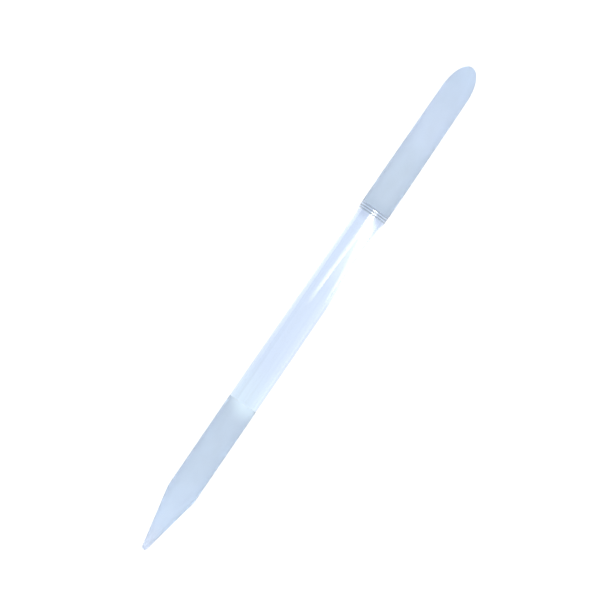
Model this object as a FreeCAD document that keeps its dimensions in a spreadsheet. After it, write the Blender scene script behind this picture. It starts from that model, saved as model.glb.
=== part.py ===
"""Glass cuticle pusher: one drawn glass rod, frosted at both ends and polished clear between them.

The rod lies along X on the plane Z = 0, its pusher end towards +X and its point towards -X.
The origin is on that plane, under the middle of the rod. The pusher's flat faces down.
Four lengths of glass meet face to face, each in a body of its own:
pusher_end, ring_band, clear_handle and pointed_end.
"""

import math
import os

import FreeCAD
import Part
import Sketcher

# alias, value (mm or degrees), what it is
DRIVING = [
    ("overall_length", 120.0, "tip to tip"),
    ("rod_diameter", 6.5, "drawn rod"),
    ("pusher_length", 35.1, "frosted length at the pusher end"),
    ("pointed_length", 36.3, "frosted length at the point"),
    ("cone_half_angle", 11.3, "point, degrees"),
    ("point_radius", 0.6, "rounded tip of the point"),
    ("shoulder_radius", 6.0, "where the cone leaves the rod"),
    ("taper_length", 28.4, "tip to where the pusher end starts to thin"),
    ("nose_thinning", 0.45, "how much thinner than the rod the taper is at the tip"),
    ("flat_angle", 24.5, "pusher's flat against the rod's axis, degrees"),
    ("flat_rim_radius", 0.18, "softened rim of the flat"),
    ("ring_pitch", 0.567, "from one ring to the next"),
    ("ring_width", 0.2, "mouth of one ring"),
    ("ring_depth", 0.02, "depth of one ring"),
    ("ring_count", 3, "rings in the band"),
    ("band_margin", 0.183, "plain glass outside the first ring and the last"),
]
# alias, formula, what it is
WORKED_OUT = [
    (
        "band_length",
        "=(ring_count - 1) * ring_pitch + ring_width + 2 * band_margin",
        "ringed band between frosting and handle",
    ),
    (
        "nose_diameter",
        "=rod_diameter - nose_thinning",
        "the taper's width at the tip, before the flat",
    ),
    (
        "taper_angle",
        "=atan(nose_thinning / 2 / taper_length)",
        "side of the taper against the axis",
    ),
    (
        "edge_set_back",
        "=flat_rim_radius * (cos((flat_angle * 1 deg - taper_angle) / 2)"
        " / sin((flat_angle * 1 deg + taper_angle) / 2) - 1)",
        "how far softening the rim draws the tip back",
    ),
]

doc = FreeCAD.newDocument("cuticle_pusher")
sheet = doc.addObject("Spreadsheet::Sheet", "Dims")


def fill_sheet():
    """Writes the dimensions, one to a row, each with its alias."""
    for row, (alias, value, meaning) in enumerate(DRIVING + WORKED_OUT, start=1):
        sheet.set(f"A{row}", alias)
        sheet.set(f"B{row}", str(value))
        sheet.set(f"C{row}", meaning)
        sheet.setAlias(f"B{row}", alias)
    doc.recompute()


def dim(alias):
    """The sheet's value of one dimension, as a plain number."""
    value = sheet.get(alias)
    return float(getattr(value, "Value", value))


def plane_of(body, role):
    """One of the body's own origin planes."""
    return next(f for f in body.Origin.OriginFeatures if f.Role == role)


def new_body(name):
    """A body whose axis is the rod's, lifted so that the rod rests on Z = 0."""
    body = doc.addObject("PartDesign::Body", name)
    body.Label = name
    body.setExpression("Placement.Base.z", "Dims.rod_diameter / 2")
    return body


def new_sketch(body, name, role="XZ_Plane"):
    """An empty sketch on one of the body's origin planes."""
    sketch = body.newObject("Sketcher::SketchObject", name)
    sketch.AttachmentSupport = [(plane_of(body, role), "")]
    sketch.MapMode = "FlatFace"
    return sketch


def line(sketch, start, end, construction=False):
    """Adds a straight edge between two (x, height) points and returns its number."""
    edge = Part.LineSegment(FreeCAD.Vector(*start, 0), FreeCAD.Vector(*end, 0))
    return sketch.addGeometry(edge, construction)


def arc(sketch, centre, radius, from_deg, to_deg):
    """Adds an anticlockwise arc and returns its number."""
    circle = Part.Circle(FreeCAD.Vector(*centre, 0), FreeCAD.Vector(0, 0, 1), radius)
    edge = Part.ArcOfCircle(circle, math.radians(from_deg), math.radians(to_deg))
    return sketch.addGeometry(edge)


def bind(sketch, name, constraint, expression):
    """Adds a named constraint whose value follows the sheet."""
    index = sketch.addConstraint(constraint)
    sketch.renameConstraint(index, name)
    sketch.setExpression(f"Constraints.{name}", expression)


def tie(sketch, kind, *ends):
    """Adds a constraint that has no value."""
    sketch.addConstraint(Sketcher.Constraint(kind, *ends))


def revolve(body, sketch, name):
    """Turns a half section once round the rod's axis."""
    turned = body.newObject("PartDesign::Revolution", name)
    turned.Profile = sketch
    turned.ReferenceAxis = (sketch, ["H_Axis"])
    turned.Angle = 360
    sketch.Visibility = False
    return turned


START, END, CENTRE = 1, 2, 3  # the ends and the centre of a sketch edge
X_AXIS, ORIGIN = -1, (-1, 1)  # the sketch's own axis and root point


def pointed_end():
    """Frosted barrel that runs out in a cone with a small round tip."""
    body = new_body("pointed_end")
    sketch = new_sketch(body, "pointed_section")
    radius, tip_radius = dim("rod_diameter") / 2, dim("point_radius")
    bend, slope = dim("shoulder_radius"), math.radians(dim("cone_half_angle"))
    tip = -dim("overall_length") / 2
    face = tip + dim("pointed_length")
    ball = (tip + tip_radius, 0)
    cone_start = (ball[0] - tip_radius * math.sin(slope), tip_radius * math.cos(slope))
    shoulder = cone_start[0] + (radius - cone_start[1]) / math.tan(slope)
    shoulder_end = shoulder + bend * math.tan(slope / 2)
    cone_end = (
        shoulder_end - bend * math.sin(slope),
        radius - bend * (1 - math.cos(slope)),
    )
    degrees = math.degrees(slope)

    axis = line(sketch, (tip, 0), (face, 0))
    joint = line(sketch, (face, 0), (face, radius))
    barrel = line(sketch, (face, radius), (shoulder_end, radius))
    curve = arc(sketch, (shoulder_end, radius - bend), bend, 90, 90 + degrees)
    cone = line(sketch, cone_end, cone_start)
    point = arc(sketch, ball, tip_radius, 90 + degrees, 180)

    tie(sketch, "PointOnObject", axis, START, X_AXIS)
    tie(sketch, "PointOnObject", axis, END, X_AXIS)
    tie(sketch, "Coincident", axis, END, joint, START)
    tie(sketch, "Coincident", joint, END, barrel, START)
    tie(sketch, "Vertical", joint)
    tie(sketch, "Horizontal", barrel)
    tie(sketch, "Tangent", barrel, END, curve, START)
    tie(sketch, "Tangent", curve, END, cone, START)
    tie(sketch, "Tangent", cone, END, point, START)
    tie(sketch, "Coincident", point, END, axis, START)
    tie(sketch, "PointOnObject", point, CENTRE, X_AXIS)
    bind(
        sketch,
        "tip_at",
        Sketcher.Constraint("DistanceX", axis, START, *ORIGIN, -tip),
        "Dims.overall_length / 2",
    )
    bind(
        sketch,
        "frosted",
        Sketcher.Constraint("DistanceX", axis, START, axis, END, face - tip),
        "Dims.pointed_length",
    )
    bind(
        sketch,
        "radius",
        Sketcher.Constraint("DistanceY", joint, START, joint, END, radius),
        "Dims.rod_diameter / 2",
    )
    bind(
        sketch,
        "bend",
        Sketcher.Constraint("Radius", curve, bend),
        "Dims.shoulder_radius",
    )
    bind(
        sketch,
        "tip_radius",
        Sketcher.Constraint("Radius", point, tip_radius),
        "Dims.point_radius",
    )
    bind(
        sketch,
        "slope",
        Sketcher.Constraint("Angle", X_AXIS, START, cone, END, slope),
        "Dims.cone_half_angle * 1 deg",
    )
    revolve(body, sketch, "pointed_turned")
    return body


def clear_handle():
    """Polished clear length that is held in the fingers."""
    body = new_body("clear_handle")
    sketch = new_sketch(body, "handle_section", "YZ_Plane")
    circle = Part.Circle(
        FreeCAD.Vector(0, 0, 0), FreeCAD.Vector(0, 0, 1), dim("rod_diameter") / 2
    )
    round_rod = sketch.addGeometry(circle)
    tie(sketch, "Coincident", round_rod, CENTRE, *ORIGIN)
    bind(
        sketch,
        "across",
        Sketcher.Constraint("Diameter", round_rod, dim("rod_diameter")),
        "Dims.rod_diameter",
    )
    pad = body.newObject("PartDesign::Pad", "handle_drawn")
    pad.Profile = sketch
    pad.setExpression(
        "Length",
        "Dims.overall_length - Dims.pusher_length - Dims.band_length - Dims.pointed_length",
    )
    sketch.Visibility = False
    body.setExpression(
        "Placement.Base.x", "Dims.pointed_length - Dims.overall_length / 2"
    )
    return body


def ring_band():
    """Short glossy band at the edge of the frosting, with fine rings round it."""
    body = new_body("ring_band")
    sketch = new_sketch(body, "band_section", "YZ_Plane")
    radius = dim("rod_diameter") / 2
    round_rod = sketch.addGeometry(
        Part.Circle(FreeCAD.Vector(0, 0, 0), FreeCAD.Vector(0, 0, 1), radius)
    )
    tie(sketch, "Coincident", round_rod, CENTRE, *ORIGIN)
    bind(
        sketch,
        "across",
        Sketcher.Constraint("Diameter", round_rod, 2 * radius),
        "Dims.rod_diameter",
    )
    pad = body.newObject("PartDesign::Pad", "band_drawn")
    pad.Profile = sketch
    pad.setExpression("Length", "Dims.band_length")
    sketch.Visibility = False
    body.setExpression(
        "Placement.Base.x",
        "Dims.overall_length / 2 - Dims.pusher_length - Dims.band_length",
    )
    doc.recompute()

    notch = new_sketch(body, "ring_section")
    width, depth = dim("ring_width"), dim("ring_depth")
    first = dim("band_margin") + width / 2
    lip = radius + depth
    bottom = line(notch, (first - width, lip), (first, radius - depth))
    rise = line(notch, (first, radius - depth), (first + width, lip))
    top = line(notch, (first + width, lip), (first - width, lip))
    tie(notch, "Coincident", bottom, END, rise, START)
    tie(notch, "Coincident", rise, END, top, START)
    tie(notch, "Coincident", top, END, bottom, START)
    tie(notch, "Horizontal", top)
    tie(notch, "Equal", bottom, rise)
    bind(
        notch,
        "first_ring",
        Sketcher.Constraint("DistanceX", *ORIGIN, bottom, END, first),
        "Dims.band_margin + Dims.ring_width / 2",
    )
    bind(
        notch,
        "root",
        Sketcher.Constraint("DistanceY", *ORIGIN, bottom, END, radius - depth),
        "Dims.rod_diameter / 2 - Dims.ring_depth",
    )
    bind(
        notch,
        "height",
        Sketcher.Constraint("DistanceY", bottom, END, bottom, START, 2 * depth),
        "2 * Dims.ring_depth",
    )
    bind(
        notch,
        "mouth",
        Sketcher.Constraint("DistanceX", bottom, START, rise, END, 2 * width),
        "2 * Dims.ring_width",
    )
    groove = body.newObject("PartDesign::Groove", "first_ring")
    groove.Profile = notch
    groove.ReferenceAxis = (notch, ["H_Axis"])
    groove.Angle = 360
    notch.Visibility = False
    doc.recompute()
    rings = body.newObject("PartDesign::LinearPattern", "rings")
    rings.Originals = [groove]
    rings.Direction = (notch, ["H_Axis"])
    rings.setExpression("Length", "(Dims.ring_count - 1) * Dims.ring_pitch")
    rings.setExpression("Occurrences", "Dims.ring_count")
    body.Tip = rings
    return body


def pusher_end():
    """Frosted end that thins a little, cut away below by one long slanting flat."""
    body = new_body("pusher_end")
    sketch = new_sketch(body, "pusher_section")
    radius, nose = dim("rod_diameter") / 2, dim("nose_diameter") / 2
    tip = dim("overall_length") / 2
    face, thinning = tip - dim("pusher_length"), tip - dim("taper_length")
    spare = radius  # glass left past the tip for the flat to cut off
    slope = (radius - nose) / dim("taper_length")
    stock = (tip + spare, nose - spare * slope)

    axis = line(sketch, (face, 0), (stock[0], 0))
    joint = line(sketch, (face, 0), (face, radius))
    barrel = line(sketch, (face, radius), (thinning, radius))
    taper = line(sketch, (thinning, radius), stock)
    end = line(sketch, stock, (stock[0], 0))
    at_tip = sketch.addGeometry(Part.Point(FreeCAD.Vector(tip, nose, 0)), True)

    tie(sketch, "PointOnObject", axis, START, X_AXIS)
    tie(sketch, "PointOnObject", axis, END, X_AXIS)
    tie(sketch, "Coincident", axis, START, joint, START)
    tie(sketch, "Coincident", joint, END, barrel, START)
    tie(sketch, "Coincident", barrel, END, taper, START)
    tie(sketch, "Coincident", taper, END, end, START)
    tie(sketch, "Coincident", end, END, axis, END)
    tie(sketch, "Vertical", joint)
    tie(sketch, "Vertical", end)
    tie(sketch, "Horizontal", barrel)
    tie(sketch, "PointOnObject", at_tip, START, taper)
    bind(
        sketch,
        "tip_at",
        Sketcher.Constraint("DistanceX", *ORIGIN, at_tip, START, tip),
        "Dims.overall_length / 2",
    )
    bind(
        sketch,
        "nose",
        Sketcher.Constraint("DistanceY", *ORIGIN, at_tip, START, nose),
        "Dims.nose_diameter / 2",
    )
    bind(
        sketch,
        "spare",
        Sketcher.Constraint("DistanceX", at_tip, START, axis, END, spare),
        "Dims.rod_diameter / 2",
    )
    bind(
        sketch,
        "frosted",
        Sketcher.Constraint("DistanceX", axis, START, at_tip, START, tip - face),
        "Dims.pusher_length",
    )
    bind(
        sketch,
        "thinned",
        Sketcher.Constraint("DistanceX", barrel, END, at_tip, START, tip - thinning),
        "Dims.taper_length",
    )
    bind(
        sketch,
        "radius",
        Sketcher.Constraint("DistanceY", joint, START, joint, END, radius),
        "Dims.rod_diameter / 2",
    )
    revolve(body, sketch, "pusher_turned")
    doc.recompute()

    wedge = new_sketch(body, "flat_section")
    turn = math.radians(dim("flat_angle"))
    sharp = tip + dim("edge_set_back")
    top = nose - (sharp - tip) * slope
    deep = 2 * radius  # how far below the axis the cutter starts
    start = (sharp - (deep + top) / math.tan(turn), -deep)
    reach = tip + 2 * radius
    finish = (reach, top + (reach - sharp) * math.tan(turn))
    ground = line(wedge, start, finish)
    out = line(wedge, finish, (reach, -deep))
    under = line(wedge, (reach, -deep), start)
    edge = wedge.addGeometry(Part.Point(FreeCAD.Vector(sharp, top, 0)), True)
    tie(wedge, "Coincident", ground, END, out, START)
    tie(wedge, "Coincident", out, END, under, START)
    tie(wedge, "Coincident", under, END, ground, START)
    tie(wedge, "Vertical", out)
    tie(wedge, "Horizontal", under)
    tie(wedge, "PointOnObject", edge, START, ground)
    bind(
        wedge,
        "sharp_at",
        Sketcher.Constraint("DistanceX", *ORIGIN, edge, START, sharp),
        "Dims.overall_length / 2 + Dims.edge_set_back",
    )
    bind(
        wedge,
        "sharp_height",
        Sketcher.Constraint("DistanceY", *ORIGIN, edge, START, top),
        "Dims.nose_diameter / 2 - Dims.edge_set_back * tan(Dims.taper_angle)",
    )
    bind(
        wedge,
        "reach",
        Sketcher.Constraint("DistanceX", *ORIGIN, out, START, reach),
        "Dims.overall_length / 2 + Dims.rod_diameter",
    )
    bind(
        wedge,
        "deep",
        Sketcher.Constraint("DistanceY", under, START, *ORIGIN, deep),
        "Dims.rod_diameter",
    )
    bind(
        wedge,
        "slope",
        Sketcher.Constraint("Angle", X_AXIS, START, ground, START, turn),
        "Dims.flat_angle * 1 deg",
    )
    flat = body.newObject("PartDesign::Pocket", "flat_ground")
    flat.Profile = wedge
    flat.Type = "ThroughAll"
    flat.Midplane = True
    wedge.Visibility = False
    doc.recompute()

    rim = body.newObject("PartDesign::Fillet", "rim_softened")
    rim.Base = (flat, rim_edges(flat.Shape))
    rim.setExpression("Radius", "Dims.flat_rim_radius")
    flat.Visibility = False
    body.Tip = rim
    return body


def rim_edges(shape):
    """The names of the edges round the ground flat, the plane that faces most nearly down."""
    planes = [face for face in shape.Faces if isinstance(face.Surface, Part.Plane)]
    flat = min(planes, key=lambda face: face.normalAt(0, 0).z)
    return [
        f"Edge{number}"
        for number, edge in enumerate(shape.Edges, start=1)
        if any(edge.isSame(other) for other in flat.Edges)
    ]


def check(bodies):
    """Stops if any object failed, or a body isn't one valid closed solid."""
    for thing in doc.Objects:
        wrong = {"Invalid", "Error"} & set(thing.State)
        if wrong:
            raise RuntimeError(f"{thing.Name}: {thing.State}")
    for body in bodies:
        shape = body.Shape
        if shape.isNull() or not shape.isValid() or len(shape.Solids) != 1:
            raise RuntimeError(f"{body.Label} isn't one valid solid")


def export(bodies):
    """Writes each body's shape where it lies, under its own name."""
    os.makedirs("parts", exist_ok=True)
    for body in bodies:
        body.Shape.exportStep(f"parts/{body.Label}.step")
        box = body.Shape.BoundBox
        print(
            f"{body.Label}: {body.Shape.Volume:.2f} mm3, X {box.XMin:.2f} to {box.XMax:.2f},"
            f" Y {box.YMin:.2f} to {box.YMax:.2f}, Z {box.ZMin:.2f} to {box.ZMax:.2f}"
        )


fill_sheet()
made = [pointed_end(), clear_handle(), ring_band(), pusher_end()]
doc.recompute()
check(made)
export(made)
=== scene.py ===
import math

import bmesh
import bpy
from mathutils import Matrix, Vector


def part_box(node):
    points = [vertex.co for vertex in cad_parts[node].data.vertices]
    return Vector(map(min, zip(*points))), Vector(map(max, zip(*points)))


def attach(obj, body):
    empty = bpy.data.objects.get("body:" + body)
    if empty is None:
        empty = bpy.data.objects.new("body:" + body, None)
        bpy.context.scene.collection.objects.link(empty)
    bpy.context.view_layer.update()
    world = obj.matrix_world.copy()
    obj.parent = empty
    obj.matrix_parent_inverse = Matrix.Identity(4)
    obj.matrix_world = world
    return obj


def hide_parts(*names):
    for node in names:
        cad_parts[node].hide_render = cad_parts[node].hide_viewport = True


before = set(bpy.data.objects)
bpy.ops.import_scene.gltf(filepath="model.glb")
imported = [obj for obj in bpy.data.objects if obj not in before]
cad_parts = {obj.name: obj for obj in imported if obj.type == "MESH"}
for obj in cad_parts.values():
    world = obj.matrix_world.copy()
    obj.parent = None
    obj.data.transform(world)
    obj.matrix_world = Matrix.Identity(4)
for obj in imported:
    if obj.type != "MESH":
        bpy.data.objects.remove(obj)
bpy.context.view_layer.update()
mm = 0.001

# places that every piece shares, read from the frame
rodLow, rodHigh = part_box("clear_handle")
rod = {
    "radius": (rodHigh.z - rodLow.z) / 2,
    "axisHeight": (rodHigh.z + rodLow.z) / 2,
    "around": 128,  # faces round the glass
}
# the rings of the band, for its shape and its finish alike
rings = {
    "count": 3,
    "pitch": 0.567 * mm,
    "mouth": 0.2 * mm,
    "depth": 0.02 * mm,
}
print("frame loaded, rod radius", round(rod["radius"] / mm, 3), "mm")


view = {
    "turn": 55.66,  # how far the stick slants up to the right, degrees
    "distance": 1.5,
    "across": 123.54 * mm,  # width of the view where the stick lies
    "right": 1.59 * mm,  # the stick's middle, from the middle of the view
    "down": 1.79 * mm,
    "sensor": 36.0,  # millimetres
    "farthest": 20.0,
}


def makeCamera():
    data = bpy.data.cameras.new("camera")
    data.sensor_width = view["sensor"]
    data.lens = data.sensor_width * view["distance"] / view["across"]
    data.clip_end = view["farthest"]
    camera = bpy.data.objects.new("camera", data)
    bpy.context.scene.collection.objects.link(camera)
    turn = Matrix.Rotation(-math.radians(view["turn"]), 4, "Z")
    shove = turn @ Vector((-view["right"], view["down"], 0))
    height = rod["axisHeight"] + view["distance"]
    camera.matrix_world = Matrix.Translation((shove.x, shove.y, height)) @ turn
    bpy.context.scene.camera = camera


makeCamera()
print("camera placed")


def newGroup(name, inputs, outputs):
    group = bpy.data.node_groups.new(name, "ShaderNodeTree")
    for label, kind, value in inputs:
        socket = group.interface.new_socket(name=label, in_out="INPUT", socket_type=kind)
        socket.default_value = value
    for label, kind in outputs:
        group.interface.new_socket(name=label, in_out="OUTPUT", socket_type=kind)
    return group, group.nodes.new("NodeGroupInput"), group.nodes.new("NodeGroupOutput")


def addNode(tree, kind, **settings):
    node = tree.nodes.new(kind)
    for name, value in settings.items():
        setattr(node, name, value)
    return node


def mathNode(tree, operation, first, second=None, third=None):
    node = addNode(tree, "ShaderNodeMath", operation=operation)
    for socket, value in zip(node.inputs, (first, second, third)):
        if value is None:
            continue
        if isinstance(value, (int, float)):
            socket.default_value = value
        else:
            tree.links.new(value, socket)
    return node.outputs[0]


def stretchedNoise(tree, source, scale, detail, stretch=(1, 1, 1)):
    mapping = addNode(tree, "ShaderNodeMapping")
    mapping.inputs["Scale"].default_value = stretch
    tree.links.new(source, mapping.inputs["Vector"])
    noise = addNode(tree, "ShaderNodeTexNoise")
    noise.inputs["Detail"].default_value = detail
    tree.links.new(mapping.outputs[0], noise.inputs["Vector"])
    tree.links.new(scale, noise.inputs["Scale"])
    return noise.outputs["Fac"]


def makeEtchGroup():
    # acid etching: a fine even grain, with broad faint clouds where the bath bit unevenly
    tree, given, result = newGroup(
        "etchedSurface",
        [
            ("Grain Scale", "NodeSocketFloat", 9000.0),
            ("Cloud Scale", "NodeSocketFloat", 260.0),
            ("Cloud Depth", "NodeSocketFloat", 0.2),
        ],
        [
            ("Cloud", "NodeSocketFloat"),
            ("Height", "NodeSocketFloat"),
        ],
    )
    place = addNode(tree, "ShaderNodeTexCoord").outputs["Object"]
    grain = stretchedNoise(tree, place, given.outputs["Grain Scale"], 3.0)
    cloud = stretchedNoise(tree, place, given.outputs["Cloud Scale"], 2.0, (0.55, 1, 1))
    swing = mathNode(tree, "SUBTRACT", cloud, 0.5)
    shade = mathNode(tree, "MULTIPLY_ADD", swing, given.outputs["Cloud Depth"], 1.0)
    tree.links.new(shade, result.inputs["Cloud"])
    tree.links.new(grain, result.inputs["Height"])
    return tree


def makeDrawGroup():
    # drawn rod: long shallow lines left as it was pulled, seen as faint lighter and darker threads
    tree, given, result = newGroup(
        "drawnSurface",
        [
            ("Line Scale", "NodeSocketFloat", 1600.0),
            ("Wave Scale", "NodeSocketFloat", 60.0),
            ("Thread Depth", "NodeSocketFloat", 0.15),
        ],
        [
            ("Thread", "NodeSocketFloat"),
            ("Height", "NodeSocketFloat"),
        ],
    )
    place = addNode(tree, "ShaderNodeTexCoord").outputs["Object"]
    lines = stretchedNoise(tree, place, given.outputs["Line Scale"], 2.0, (0.02, 1, 1))
    waves = stretchedNoise(tree, place, given.outputs["Wave Scale"], 1.0, (0.35, 1, 1))
    swing = mathNode(tree, "SUBTRACT", lines, 0.5)
    thread = mathNode(tree, "MULTIPLY_ADD", swing, given.outputs["Thread Depth"], 1.0)
    height = mathNode(tree, "MULTIPLY_ADD", waves, 0.5, lines)
    tree.links.new(thread, result.inputs["Thread"])
    tree.links.new(height, result.inputs["Height"])
    return tree


def makeZoneGroup():
    # a stretch of the stick: 0 at Start, 1 at Full and beyond, both in metres along it;
    # Bow bends its edges along the stick away from Bow Centre, and Patches makes them uneven
    tree, given, result = newGroup(
        "zoneAlong",
        [
            ("Start", "NodeSocketFloat", 0.0),
            ("Full", "NodeSocketFloat", 0.001),
            ("Bow", "NodeSocketFloat", 0.0),
            ("Bow Centre", "NodeSocketFloat", 0.0),
            ("Patches", "NodeSocketFloat", 0.0),
            ("Patch Scale", "NodeSocketFloat", 300.0),
        ],
        [("Mask", "NodeSocketFloat")],
    )
    place = addNode(tree, "ShaderNodeTexCoord").outputs["Object"]
    apart = addNode(tree, "ShaderNodeSeparateXYZ")
    tree.links.new(place, apart.inputs[0])
    side = mathNode(tree, "SUBTRACT", apart.outputs["Y"], given.outputs["Bow Centre"])
    side = mathNode(tree, "DIVIDE", side, rod["radius"])
    side = mathNode(tree, "MULTIPLY", side, side)
    along = mathNode(tree, "MULTIPLY_ADD", side, given.outputs["Bow"], apart.outputs["X"])
    patch = stretchedNoise(tree, place, given.outputs["Patch Scale"], 2.0)
    patch = mathNode(tree, "SUBTRACT", patch, 0.5)
    along = mathNode(tree, "MULTIPLY_ADD", patch, given.outputs["Patches"], along)
    ramp = addNode(tree, "ShaderNodeMapRange", interpolation_type="SMOOTHSTEP")
    tree.links.new(along, ramp.inputs["Value"])
    tree.links.new(given.outputs["Start"], ramp.inputs["From Min"])
    tree.links.new(given.outputs["Full"], ramp.inputs["From Max"])
    tree.links.new(ramp.outputs["Result"], result.inputs["Mask"])
    return tree


etchGroup = makeEtchGroup()
drawGroup = makeDrawGroup()
zoneGroup = makeZoneGroup()


def newMaterial(name):
    material = bpy.data.materials.new(name)
    material.use_nodes = True
    return material, material.node_tree, material.node_tree.nodes["Principled BSDF"]


def bumpFrom(tree, height, look, shader):
    bump = addNode(tree, "ShaderNodeBump")
    bump.inputs["Strength"].default_value = look["bump"]
    bump.inputs["Distance"].default_value = look["bumpDistance"]
    tree.links.new(height, bump.inputs["Height"])
    tree.links.new(bump.outputs[0], shader.inputs["Normal"])


def paintZone(tree, colour, zone):
    # lays the zone's colour, a painted light or painted shade, over what is there
    shape = addNode(tree, "ShaderNodeGroup", node_tree=zoneGroup)
    for label in ("Start", "Full", "Bow", "Bow Centre", "Patches"):
        shape.inputs[label].default_value = zone.get(label, 0.0) * mm
    mix = addNode(tree, "ShaderNodeMix", data_type="RGBA")
    tree.links.new(shape.outputs["Mask"], mix.inputs["Factor"])
    if isinstance(colour, tuple):
        mix.inputs["A"].default_value = (*colour, 1)
    else:
        tree.links.new(colour, mix.inputs["A"])
    mix.inputs["B"].default_value = (*zone["colour"], 1)
    return mix.outputs["Result"]


def shaded(tree, colour, shade):
    scaled = addNode(tree, "ShaderNodeVectorMath", operation="SCALE")
    if isinstance(colour, tuple):
        scaled.inputs[0].default_value = colour
    else:
        tree.links.new(colour, scaled.inputs[0])
    tree.links.new(shade, scaled.inputs["Scale"])
    return scaled.outputs[0]


def paintedRingShade(tree, lines):
    # painted shade: darker at the bottom of each ring, by a cosine along the stick
    place = addNode(tree, "ShaderNodeTexCoord").outputs["Object"]
    apart = addNode(tree, "ShaderNodeSeparateXYZ")
    tree.links.new(place, apart.inputs[0])
    rate = 2 * math.pi / rings["pitch"]
    turn = mathNode(tree, "MULTIPLY_ADD", apart.outputs["X"], rate, -rate * lines["middle"])
    wave = mathNode(tree, "COSINE", turn)
    wave = mathNode(tree, "MULTIPLY_ADD", wave, 0.5, 0.5)
    wave = mathNode(tree, "POWER", wave, lines["sharpness"])
    return mathNode(tree, "MULTIPLY_ADD", wave, -lines["darkness"], 1.0)


def glassFinish(name, look, effect, shadeLabel):
    # every length of the stick: its colour zones, which are painted light and shade, the shading
    # of its surface, painted shade in any rings, and its fine relief
    material, tree, shader = newMaterial(name)
    surface = addNode(tree, "ShaderNodeGroup", node_tree=effect)
    for label, value in look["surface"].items():
        surface.inputs[label].default_value = value
    colour = look["colour"]
    for zone in look["zones"]:
        colour = paintZone(tree, colour, zone)
    colour = shaded(tree, colour, surface.outputs[shadeLabel])
    if "lines" in look:
        colour = shaded(tree, colour, paintedRingShade(tree, look["lines"]))
    tree.links.new(colour, shader.inputs["Base Color"])
    shader.inputs["Roughness"].default_value = look["roughness"]
    shader.inputs["IOR"].default_value = look["ior"]
    shader.inputs["Transmission Weight"].default_value = look["transmission"]
    bumpFrom(tree, surface.outputs["Height"], look, shader)
    return material


def clearGlass():
    look = {
        "colour": (0.631, 0.737, 0.914),
        "zones": [
            # painted light: a slight change of tint, a little paler, along the clear handle
            # towards the point
            {"Start": -13.0, "Full": -22.0, "colour": (0.648, 0.77, 0.906)},
            # the shade of the band, drawn into the glass beside it
            {"Start": 21.0, "Full": 23.0, "colour": (0.53, 0.62, 0.805)},
        ],
        "surface": {"Line Scale": 1600.0, "Wave Scale": 60.0, "Thread Depth": 0.15},
        "roughness": 0.0,
        "ior": 1.5,
        "transmission": 1.0,
        "bump": 0.03,
        "bumpDistance": 0.01 * mm,
    }
    return glassFinish("clearGlass", look, drawGroup, "Thread")


def frostedGlass(name, colour, zones):
    look = {
        "colour": colour,
        "zones": zones,
        "surface": {"Grain Scale": 9000.0, "Cloud Scale": 260.0, "Cloud Depth": 0.2},
        "roughness": 0.62,
        "ior": 1.5,
        "transmission": 0.8,
        "bump": 0.25,
        "bumpDistance": 0.03 * mm,
    }
    return glassFinish(name, look, etchGroup, "Cloud")


def frostedPointGlass():
    zones = [
        # light led along the clear rod comes out where the frosting starts
        {
            "Start": -28.2,
            "Full": -23.7,
            "Bow": -2.6,
            "Bow Centre": -1.0,
            "colour": (0.768, 0.905, 1.0),
        },
        # painted light: the thinner cone and its tip paler, as they let more light through
        {"Start": -40.5, "Full": -47.0, "Patches": 7.0, "colour": (0.622, 0.728, 0.868)},
        {"Start": -52.0, "Full": -60.0, "colour": (0.69, 0.765, 0.905)},
    ]
    return frostedGlass("frostedPointGlass", (0.578, 0.678, 0.802), zones)


def frostedPusherGlass():
    zones = [
        # painted shade where the frosting starts beside the band
        {"Start": 27.4, "Full": 24.9, "colour": (0.53, 0.628, 0.752)},
        # painted light: paler where the glass thins over the slanting flat and towards the tip
        {"Start": 35.0, "Full": 45.0, "Patches": 10.0, "colour": (0.624, 0.719, 0.857)},
        {"Start": 46.0, "Full": 59.0, "colour": (0.584, 0.69, 0.835)},
    ]
    return frostedGlass("frostedPusherGlass", (0.582, 0.678, 0.795), zones)


def ringedGlass():
    low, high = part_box("ring_band")
    look = {
        "colour": (0.528, 0.632, 0.786),
        "zones": [],
        "surface": {"Grain Scale": 9000.0, "Cloud Scale": 260.0, "Cloud Depth": 0.2},
        # painted shade at the bottom of each ring
        "lines": {
            "middle": (low.x + high.x) / 2,
            "darkness": 0.6,
            "sharpness": 2.5,
        },
        "roughness": 0.01,
        "ior": 1.5,
        "transmission": 0.85,
        "bump": 0.003,
        "bumpDistance": 0.03 * mm,
    }
    return glassFinish("ringedGlass", look, etchGroup, "Cloud")


def insideJoint():
    # the glass runs on unbroken where two lengths meet, so these faces don't show
    material, _, shader = newMaterial("insideJoint")
    shader.inputs["Alpha"].default_value = 0.0
    return material


finishes = {
    "clear": clearGlass(),
    "frostedPoint": frostedPointGlass(),
    "frostedPusher": frostedPusherGlass(),
    "ringed": ringedGlass(),
    "joint": insideJoint(),
}
print("materials made")


def evenly(start, end, count):
    return [start + (end - start) * n / count for n in range(count + 1)]


def hoopOf(work, points):
    # one turn of points round the stick
    return [work.verts.new(point) for point in points]


def stitch(work, first, second):
    # quads between two hoops of equal count
    count = len(first)
    for here in range(count):
        there = (here + 1) % count
        work.faces.new((first[here], first[there], second[there], second[here]))


def stitchOpen(work, first, second):
    for here in range(len(first) - 1):
        work.faces.new((first[here], first[here + 1], second[here + 1], second[here]))


def closeJoint(work, ring):
    # the flat cut where two lengths meet, in the piece's second material
    work.faces.new(ring).material_index = 1


sharpFrom = 32  # degrees between faces; rounder turns than this are shaded smooth


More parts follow.
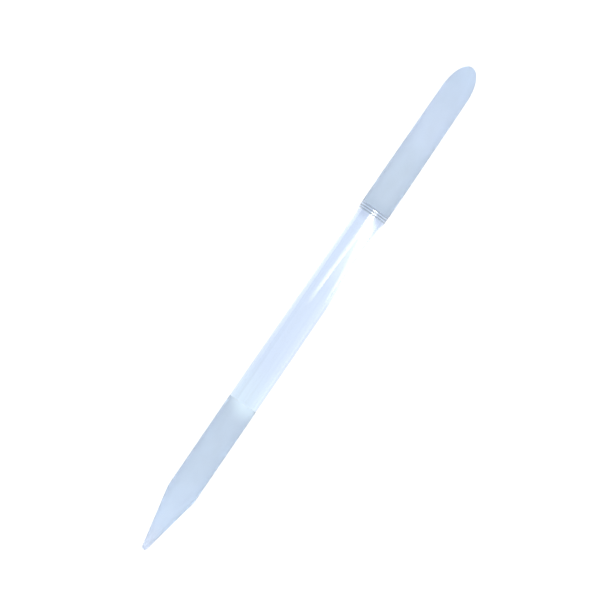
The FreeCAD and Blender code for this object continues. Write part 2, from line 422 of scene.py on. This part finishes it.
def finishPiece(work, name, glass):
    bmesh.ops.recalc_face_normals(work, faces=work.faces)
    mesh = bpy.data.meshes.new(name)
    work.to_mesh(mesh)
    work.free()
    mesh.materials.append(glass)
    mesh.materials.append(finishes["joint"])
    for polygon in mesh.polygons:
        polygon.use_smooth = True
    mesh.set_sharp_from_angle(angle=math.radians(sharpFrom))
    piece = bpy.data.objects.new(name, mesh)
    bpy.context.scene.collection.objects.link(piece)
    return piece


def circlePoints(x, radius):
    turns = (2 * math.pi * n / rod["around"] for n in range(rod["around"]))
    return [
        (x, radius * math.sin(turn), rod["axisHeight"] + radius * math.cos(turn))
        for turn in turns
    ]


def turnedPiece(name, outline, glass, jointAtStart=True, jointAtEnd=True):
    # outline runs along x as (x, radius); it may start at a tip, with a radius of 0
    work = bmesh.new()
    hoops = []
    for x, radius in outline:
        if radius == 0:
            hoops.append([work.verts.new((x, 0, rod["axisHeight"]))])
        else:
            hoops.append(hoopOf(work, circlePoints(x, radius)))
    for first, second in zip(hoops, hoops[1:]):
        if len(first) == 1:
            for here, vertex in enumerate(second):
                work.faces.new((first[0], vertex, second[(here + 1) % len(second)]))
        else:
            stitch(work, first, second)
    if jointAtStart:
        closeJoint(work, hoops[0])
    if jointAtEnd:
        closeJoint(work, hoops[-1])
    return finishPiece(work, name, glass)


def makeClearHandle():
    low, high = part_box("clear_handle")
    handle = {"lengths": 24}
    outline = [(x, rod["radius"]) for x in evenly(low.x, high.x, handle["lengths"])]
    return turnedPiece("clearHandle", outline, finishes["clear"])


def makeRingBand():
    low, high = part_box("ring_band")
    band = {
        "steps": 10,  # across one ring
        "lip": 0.015 * mm,  # keeps the glass between the rings flat
    }
    middle = (low.x + high.x) / 2
    outline = [(low.x, rod["radius"])]
    edge = rings["mouth"] / 2 + band["lip"]
    for n in range(rings["count"]):
        centre = middle + (n - (rings["count"] - 1) / 2) * rings["pitch"]
        outline.append((centre - edge, rod["radius"]))
        for step in evenly(-1, 1, band["steps"]):
            dip = rings["depth"] * (0.5 + 0.5 * math.cos(math.pi * step))
            outline.append((centre + step * rings["mouth"] / 2, rod["radius"] - dip))
        outline.append((centre + edge, rod["radius"]))
    outline.append((high.x, rod["radius"]))
    return turnedPiece("ringBand", outline, finishes["ringed"])


def makePointedEnd():
    low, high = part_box("pointed_end")
    point = {
        "coneAngle": 11.3,
        "tipRadius": 0.6 * mm,
        "shoulderRadius": 6.0 * mm,
        "steps": 10,  # along each rounded stretch
        "coneSteps": 16,
        "barrelSteps": 14,
    }
    slope = math.radians(point["coneAngle"])
    ball = low.x + point["tipRadius"]
    outline = [(low.x, 0)]
    for turn in evenly(0, math.pi / 2 - slope, point["steps"])[1:]:
        outline.append(
            (
                ball - point["tipRadius"] * math.cos(turn),
                point["tipRadius"] * math.sin(turn),
            )
        )
    startX, startR = outline[-1]
    bend = point["shoulderRadius"]
    endR = rod["radius"] - bend * (1 - math.cos(slope))
    endX = startX + (endR - startR) / math.tan(slope)
    for share in evenly(0, 1, point["coneSteps"])[1:]:
        outline.append(
            (startX + share * (endX - startX), startR + share * (endR - startR))
        )
    centreX = endX + bend * math.sin(slope)
    for turn in evenly(slope, 0, point["steps"])[1:]:
        outline.append(
            (
                centreX - bend * math.sin(turn),
                rod["radius"] - bend * (1 - math.cos(turn)),
            )
        )
    for x in evenly(centreX, high.x, point["barrelSteps"])[1:]:
        outline.append((x, rod["radius"]))
    return turnedPiece("pointedEnd", outline, finishes["frostedPoint"], jointAtStart=False)


def makePusherEnd():
    low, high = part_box("pusher_end")
    pusher = {
        "taperLength": 28.4 * mm,
        "noseWidth": 6.05 * mm,
        "flatAngle": 24.5,
        "rimRadius": 0.18 * mm,
        "barrelSteps": 4,
        "taperSteps": 30,
        "rimSteps": 8,
    }
    tip = high.x
    thinning = tip - pusher["taperLength"]
    fall = (rod["radius"] - pusher["noseWidth"] / 2) / pusher["taperLength"]
    taper = math.atan(fall)
    turn = math.radians(pusher["flatAngle"])
    soft = pusher["rimRadius"]
    # the rim is a ball rolled round a slightly smaller end, so the tip stays where it is
    back = soft * (math.cos((turn - taper) / 2) / math.sin((turn + taper) / 2) - 1)
    sharpX = tip + back
    sharpZ = pusher["noseWidth"] / 2 - back * fall
    flatNormal = Vector((math.sin(turn), 0, -math.cos(turn)))
    flatLevel = Vector((sharpX, 0, sharpZ)).dot(flatNormal) - soft

    def coneNormal(angle):
        return Vector(
            (
                math.sin(taper),
                math.cos(taper) * math.sin(angle),
                math.cos(taper) * math.cos(angle),
            )
        )

    def innerRadius(x):
        return rod["radius"] - (x - thinning) * fall - soft / math.cos(taper)

    def rimAt(angle):
        # where the smaller cone meets the smaller flat, on the line at this angle
        side, up = math.sin(angle), math.cos(angle)
        start = innerRadius(0)
        x = (flatLevel - start * up * flatNormal.z) / (
            flatNormal.x - fall * up * flatNormal.z
        )
        radius = innerRadius(x)
        return Vector((x, radius * side, radius * up))

    lift = Vector((0, 0, rod["axisHeight"]))
    angles = [2 * math.pi * n / rod["around"] for n in range(rod["around"])]
    rims = [rimAt(angle) for angle in angles]
    normals = [coneNormal(angle) for angle in angles]
    edge = [rim + normal * soft for rim, normal in zip(rims, normals)]

    work = bmesh.new()
    hoops = []
    for x in evenly(low.x, thinning, pusher["barrelSteps"]):
        hoops.append(hoopOf(work, circlePoints(x, rod["radius"])))
    for share in evenly(0, 1, pusher["taperSteps"])[1:]:
        points = []
        for angle, end in zip(angles, edge):
            x = thinning + share * (end.x - thinning)
            radius = rod["radius"] - (x - thinning) * fall
            points.append(
                Vector((x, radius * math.sin(angle), radius * math.cos(angle))) + lift
            )
        hoops.append(hoopOf(work, points))
    for share in evenly(0, 1, pusher["rimSteps"])[1:]:
        points = []
        for rim, normal in zip(rims, normals):
            direction = normal.slerp(flatNormal, share)
            points.append(rim + direction * soft + lift)
        hoops.append(hoopOf(work, points))
    for first, second in zip(hoops, hoops[1:]):
        stitch(work, first, second)
    closeJoint(work, hoops[0])
    # the flat itself, in rungs from side to side
    rim = hoops[-1]
    for n in range(rod["around"] // 2):
        # the first rung and the last are triangles, because their two ends are one point
        corners = (rim[n], rim[n + 1], rim[-n - 1], rim[-n])
        work.faces.new(list(dict.fromkeys(corners)))
    return finishPiece(work, "pusherEnd", finishes["frostedPusher"])


pieces = {
    "clear_handle": (makeClearHandle(), "clear_glass"),
    "ring_band": (makeRingBand(), "ringed_glass"),
    "pointed_end": (makePointedEnd(), "frosted_glass"),
    "pusher_end": (makePusherEnd(), "frosted_glass"),
}
for node, (piece, slotName) in pieces.items():
    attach(piece, "root")
    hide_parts(node)
    print("made", piece.name, "with", len(piece.data.polygons), "faces")


studio = {
    "floorSize": 6.0,
    "floorColour": (0.1, 0.1, 0.1),  # a lit table: it glows, so the stick leaves no shadow
    "floorGlow": 1.02,
    "worldColour": (1.0, 1.0, 1.0),
    "worldStrength": 1.18,
}


def makeFloor():
    work = bmesh.new()
    half = studio["floorSize"] / 2
    corners = ((-half, -half), (half, -half), (half, half), (-half, half))
    work.faces.new([work.verts.new((x, y, 0)) for x, y in corners])
    mesh = bpy.data.meshes.new("floor")
    work.to_mesh(mesh)
    work.free()
    material, _, shader = newMaterial("paleFloor")
    shader.inputs["Base Color"].default_value = (*studio["floorColour"], 1)
    shader.inputs["Roughness"].default_value = 0.9
    shader.inputs["Specular IOR Level"].default_value = 0.0
    shader.inputs["Emission Color"].default_value = (1, 1, 1, 1)
    shader.inputs["Emission Strength"].default_value = studio["floorGlow"]
    mesh.materials.append(material)
    floor = bpy.data.objects.new("floor", mesh)
    bpy.context.scene.collection.objects.link(floor)


def makeWorld():
    world = bpy.data.worlds.new("softRoom")
    world.use_nodes = True
    background = world.node_tree.nodes["Background"]
    background.inputs["Color"].default_value = (*studio["worldColour"], 1)
    background.inputs["Strength"].default_value = studio["worldStrength"]
    bpy.context.scene.world = world


cards = {
    # Arched panels far out. Corners are (millimetres along the stick, degrees leaned over from
    # straight above); the fades are shares of the panel where its light rises and falls:
    # along from the start, along to the end, up from the low lean, on to the high lean.
    "stripCard": {
        "corners": ((0.3, -44), (0.3, -9), (23.2, 19), (23.2, -22)),
        "fades": (0.27, 0, 0.55, 0.15),
        "glow": 8.2,
    },
    "sideCard": {
        "corners": ((21.0, 3), (0.3, 89), (22.9, 89), (23.5, 3)),
        "fades": (0.34, 0.16, 0.1, 0),
        "glow": 8.5,
    },
    "hazeCard": {
        "corners": ((5.5, 0), (5.5, 62), (23.2, 62), (23.2, 0)),
        "fades": (0.8, 0.2, 0.15, 0.3),
        "glow": 6.6,
    },
    "bandCard": {
        "corners": ((17.5, -12), (17.5, 27), (24.5, 38), (24.5, -20)),
        "fades": (0.06, 0.02, 0.31, 0.41),
        "glow": 18.0,
    },
    "wideCard": {
        "corners": ((-40, 35), (-40, 89), (22, 89), (22, 35)),
        "fades": (0.15, 0.1, 0.7, 0),
        "glow": 1.1,
    },
    # a grey flag on the other side, which hides part of the bright room
    "flagCard": {
        "corners": ((-40, -89), (-40, -50), (40, -50), (40, -89)),
        "fades": (0, 0, 0, 0),
        "glow": 0.6,
        "solid": True,
    },
    # panels that lie on the floor beside the stick: corners are (along, millimetres out)
    "rightFloorCard": {
        "corners": ((-2.0, 14), (-2.0, 300), (21.9, 300), (21.9, 14)),
        "fades": (0.6, 0.16, 0, 0),
        "glow": 6.0,
        "side": -1,
    },
    "rimFloorCard": {
        "corners": ((2.0, 3.5), (2.0, 14), (23.2, 14), (23.2, 3.5)),
        "fades": (0.34, 0.1, 0, 0),
        "glow": 4.0,
        "side": -1,
    },
    "lowFloorCard": {
        "corners": ((-40, 12), (-40, 300), (6, 300), (6, 12)),
        "fades": (0.15, 0.2, 0, 0),
        "glow": 1.4,
        "side": -1,
    },
    "leftFloorCard": {
        "corners": ((-16, 4), (-16, 300), (23.5, 300), (23.5, 4)),
        "fades": (1, 0, 0, 0),
        "glow": 2.1,
        "side": 1,
    },
}
cardDistance = 0.3
cardAboveFloor = 0.02 * mm
cardSteps = 48  # how finely a panel's light rises and falls


def cardPoint(card, along, across):
    # spread out from the stick, so that each place along it mirrors that place on the panel
    if "side" in card:
        out = across * mm
        spread = 1 + out / view["distance"]
        return along * mm * spread, card["side"] * out, cardAboveFloor
    turn = math.radians(across)
    spread = 1 + cardDistance / view["distance"]
    return (
        along * mm * spread,
        -cardDistance * math.sin(turn),
        rod["axisHeight"] + cardDistance * math.cos(turn),
    )


def rise(share, width):
    # from 0 at the panel's edge to 1 at this width in from it
    if width == 0:
        return 1.0
    return min(share / width, 1.0)


def makeCard(name, card):
    # a lit cloth panel that only shows mirrored in the glass, never through it
    nearLow, nearHigh, farHigh, farLow = (Vector(corner) for corner in card["corners"])
    starts, ends, lows, highs = card["fades"]
    work = bmesh.new()
    glows = []
    grid = []
    for u in evenly(0, 1, cardSteps):
        row = []
        for v in evenly(0, 1, cardSteps):
            along, across = nearLow.lerp(nearHigh, v).lerp(farLow.lerp(farHigh, v), u)
            row.append(work.verts.new(cardPoint(card, along, across)))
            fade = rise(u, starts) * rise(1 - u, ends) * rise(v, lows) * rise(1 - v, highs)
            glows.append(card["glow"] * fade)
        grid.append(row)
    for low, high in zip(grid, grid[1:]):
        stitchOpen(work, low, high)
    mesh = bpy.data.meshes.new(name)
    work.to_mesh(mesh)
    work.free()
    mesh.attributes.new("glow", "FLOAT", "POINT").data.foreach_set("value", glows)
    material = bpy.data.materials.new(name)
    material.use_nodes = True
    tree = material.node_tree
    tree.nodes.clear()
    glow = addNode(tree, "ShaderNodeAttribute", attribute_name="glow")
    light = addNode(tree, "ShaderNodeEmission")
    behind = 0.0 if card.get("solid") else 1.0
    through = addNode(tree, "ShaderNodeBsdfTransparent")
    through.inputs["Color"].default_value = (behind, behind, behind, 1)
    both = addNode(tree, "ShaderNodeAddShader")
    clear = addNode(tree, "ShaderNodeBsdfTransparent")
    path = addNode(tree, "ShaderNodeLightPath")
    reflected = addNode(tree, "ShaderNodeMixShader")
    output = addNode(tree, "ShaderNodeOutputMaterial")
    tree.links.new(glow.outputs["Fac"], light.inputs["Strength"])
    tree.links.new(light.outputs[0], both.inputs[0])
    tree.links.new(through.outputs[0], both.inputs[1])
    tree.links.new(path.outputs["Is Reflection Ray"], reflected.inputs["Fac"])
    tree.links.new(clear.outputs[0], reflected.inputs[1])
    tree.links.new(both.outputs[0], reflected.inputs[2])
    tree.links.new(reflected.outputs[0], output.inputs["Surface"])
    mesh.materials.append(material)
    panel = bpy.data.objects.new(name, mesh)
    bpy.context.scene.collection.objects.link(panel)
    panel.visible_camera = False
    panel.visible_shadow = False
    panel.visible_diffuse = False
    panel.visible_transmission = False


for name, card in cards.items():
    makeCard(name, card)
makeFloor()
makeWorld()
bpy.context.scene.view_settings.view_transform = "Standard"
print("stage and lights set")
